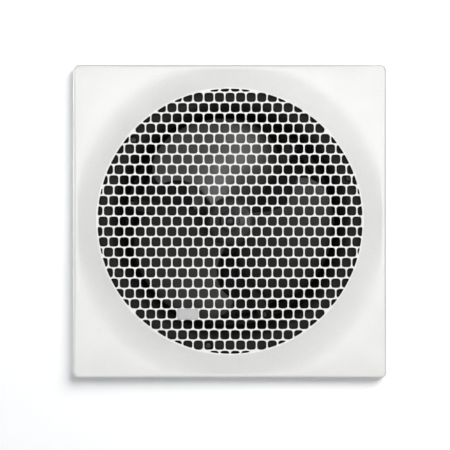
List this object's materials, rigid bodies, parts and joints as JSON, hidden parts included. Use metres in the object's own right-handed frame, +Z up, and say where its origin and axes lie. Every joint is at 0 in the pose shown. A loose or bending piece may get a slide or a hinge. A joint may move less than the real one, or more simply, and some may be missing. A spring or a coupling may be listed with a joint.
{
  "type": "bathroom extractor fan",
  "caption": "Ducted bathroom extractor fan with a square fascia, a round honeycomb grille, a three-bladed impeller, an induction motor and a sprung backdraft damper.",
  "frame": {"origin": "centre of the bounding box, on the fan's axis; the wall plane is at y = -0.0686 m", "axes": "+Z up, -Y towards the room, +Y along the air flow into the duct, +X to the right seen from the room"},
  "size_m": [0.29, 0.1728, 0.29],
  "materials": {
    "white_gloss": "white moulded plastic, fine satin gloss",
    "badge_grey": "pale grey moulded plastic, satin",
    "charcoal_plastic": "dark grey moulded plastic, semi-matt",
    "fan_plastic": "dark grey moulded plastic, satin",
    "foam": "closed-cell foam strip",
    "rubber": "black moulded rubber",
    "lamination_steel": "stacked electrical steel under dark varnish",
    "cast_zinc": "die-cast zinc, satin",
    "bright_steel": "zinc-plated steel, bright",
    "black_steel": "black zinc-plated steel",
    "copper": "enamelled copper winding wire",
    "bronze": "oil-filled sintered bronze",
    "brass": "turned brass",
    "natural_nylon": "natural nylon",
    "cable_grey": "flexible grey cable sheath",
    "damper_paint": "thin aluminium sheet, painted matt black"
  },
  "bodies": {
    "body": {"housing": "charcoal_plastic", "wall_gasket": "foam", "motor_carrier": "charcoal_plastic", "stator_core": "lamination_steel", "stator_yoke": "lamination_steel", "coil_bobbin": "charcoal_plastic", "motor_coil": "copper", "shading_ring_left": "copper", "shading_ring_right": "copper", "bearing_bracket_front": "cast_zinc", "bearing_bracket_rear": "cast_zinc", "bearing_front": "bronze", "bearing_rear": "bronze", "motor_screw_upper": "bright_steel", "motor_screw_lower": "bright_steel", "terminal_box": "charcoal_plastic", "terminal_cover": "charcoal_plastic", "terminal_cover_screw": "bright_steel", "terminal_block": "natural_nylon", "cord_grip": "charcoal_plastic", "cord_grip_screw_left": "bright_steel", "cord_grip_screw_right": "bright_steel", "lead_grommet": "rubber", "motor_lead": "cable_grey", "outlet_spigot": "charcoal_plastic", "damper_pin": "bright_steel", "damper_spring_upper": "bright_steel", "damper_spring_lower": "bright_steel", "carrier_grommet_1": "rubber", "carrier_screw_1": "black_steel", "spigot_screw_1": "bright_steel", "carrier_grommet_2": "rubber", "carrier_screw_2": "black_steel", "spigot_screw_2": "bright_steel", "carrier_grommet_3": "rubber", "carrier_screw_3": "black_steel", "spigot_screw_3": "bright_steel"},
    "fascia_cover": {"fascia": "white_gloss", "grille": "white_gloss", "badge_plate": "badge_grey"},
    "fan_rotor": {"impeller": "fan_plastic", "impeller_nut": "black_steel", "impeller_washer": "black_steel", "motor_shaft": "bright_steel", "rotor_core": "lamination_steel"},
    "damper_left": {"damper_flap_left": "damper_paint"},
    "damper_right": {"damper_flap_right": "damper_paint"},
    "clamp_screw_1_turning": {"clamp_screw_1": "black_steel"},
    "clamp_nut_1_travelling": {"clamp_nut_1": "brass"},
    "clamp_jaw_1_swinging": {"clamp_jaw_1": "charcoal_plastic"},
    "clamp_screw_2_turning": {"clamp_screw_2": "black_steel"},
    "clamp_nut_2_travelling": {"clamp_nut_2": "brass"},
    "clamp_jaw_2_swinging": {"clamp_jaw_2": "charcoal_plastic"},
    "clamp_screw_3_turning": {"clamp_screw_3": "black_steel"},
    "clamp_nut_3_travelling": {"clamp_nut_3": "brass"},
    "clamp_jaw_3_swinging": {"clamp_jaw_3": "charcoal_plastic"}
  },
  "joints": [
    {"name": "fascia_pull", "type": "slide", "parent": "body", "child": "fascia_cover", "axis": [0, -1, 0], "range_m": [0, 0.03]},
    {"name": "rotor_spin", "type": "hinge", "parent": "body", "child": "fan_rotor", "pos_m": [0, 0.0134, 0], "axis": [0, 1, 0], "continuous": true},
    {"name": "damper_left_swing", "type": "hinge", "parent": "body", "child": "damper_left", "pos_m": [0, 0.0524, 0], "axis": [0, 0, -1], "range_deg": [0, 80], "stiffness_Nm_per_rad": 0.01, "springref_deg": -20.05, "deforming": ["damper_spring_upper", "damper_spring_lower"]},
    {"name": "damper_right_swing", "type": "hinge", "parent": "body", "child": "damper_right", "pos_m": [0, 0.0524, 0], "axis": [0, 0, 1], "range_deg": [0, 80], "stiffness_Nm_per_rad": 0.01, "springref_deg": -20.05, "deforming": ["damper_spring_upper", "damper_spring_lower"]},
    {"name": "clamp_1_turn", "type": "hinge", "parent": "body", "child": "clamp_screw_1_turning", "pos_m": [0.11041, -0.0136, 0.04019], "axis": [0, 1, 0], "range_deg": [0, 7565]},
    {"name": "clamp_1_travel", "type": "slide", "parent": "body", "child": "clamp_nut_1_travelling", "axis": [0, -1, 0], "range_m": [0, 0.042]},
    {"name": "clamp_1_swing", "type": "hinge", "parent": "clamp_nut_1_travelling", "child": "clamp_jaw_1_swinging", "pos_m": [0.11041, -0.0136, 0.04019], "axis": [0, 1, 0], "range_deg": [0, 90]},
    {"name": "clamp_2_turn", "type": "hinge", "parent": "body", "child": "clamp_screw_2_turning", "pos_m": [-0.09001, -0.0136, 0.07553], "axis": [0, 1, 0], "range_deg": [0, 7565]},
    {"name": "clamp_2_travel", "type": "slide", "parent": "body", "child": "clamp_nut_2_travelling", "axis": [0, -1, 0], "range_m": [0, 0.042]},
    {"name": "clamp_2_swing", "type": "hinge", "parent": "clamp_nut_2_travelling", "child": "clamp_jaw_2_swinging", "pos_m": [-0.09001, -0.0136, 0.07553], "axis": [0, 1, 0], "range_deg": [0, 90]},
    {"name": "clamp_3_turn", "type": "hinge", "parent": "body", "child": "clamp_screw_3_turning", "pos_m": [-0.0204, -0.0136, -0.11571], "axis": [0, 1, 0], "range_deg": [0, 7565]},
    {"name": "clamp_3_travel", "type": "slide", "parent": "body", "child": "clamp_nut_3_travelling", "axis": [0, -1, 0], "range_m": [0, 0.042]},
    {"name": "clamp_3_swing", "type": "hinge", "parent": "clamp_nut_3_travelling", "child": "clamp_jaw_3_swinging", "pos_m": [-0.0204, -0.0136, -0.11571], "axis": [0, 1, 0], "range_deg": [0, 90]}
  ],
  "couplings": [
    {"joint": "clamp_1_turn", "follows": "clamp_1_travel", "rad_per_m": 3141.6},
    {"joint": "clamp_2_turn", "follows": "clamp_2_travel", "rad_per_m": 3141.6},
    {"joint": "clamp_3_turn", "follows": "clamp_3_travel", "rad_per_m": 3141.6}
  ]
}
